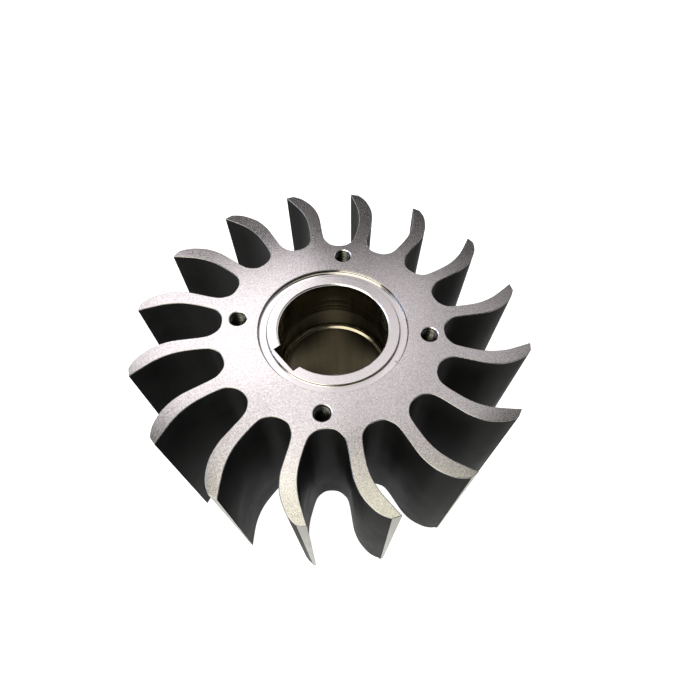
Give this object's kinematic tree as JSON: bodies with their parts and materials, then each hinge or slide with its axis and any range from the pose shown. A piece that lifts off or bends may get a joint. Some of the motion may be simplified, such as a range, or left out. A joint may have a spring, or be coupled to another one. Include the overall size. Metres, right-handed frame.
{
  "type": "pump impeller",
  "caption": "Open liquid-ring pump impeller with curved vanes around a keyed hub, an annular groove and tapped holes in the port face.",
  "frame": {"origin": "centre of the lower face on the shaft axis", "axes": "+Z along the shaft axis towards the port face with the tapped holes; +X and +Y through two of the tapped holes, the keyway halfway between -X and -Y"},
  "size_m": [0.197, 0.197, 0.095],
  "materials": {
    "satin_steel": "fine-ground faces, smooth machined bore, darker cast vane sides"
  },
  "bodies": {
    "root": {"impeller": "satin_steel"}
  },
  "joints": []
}
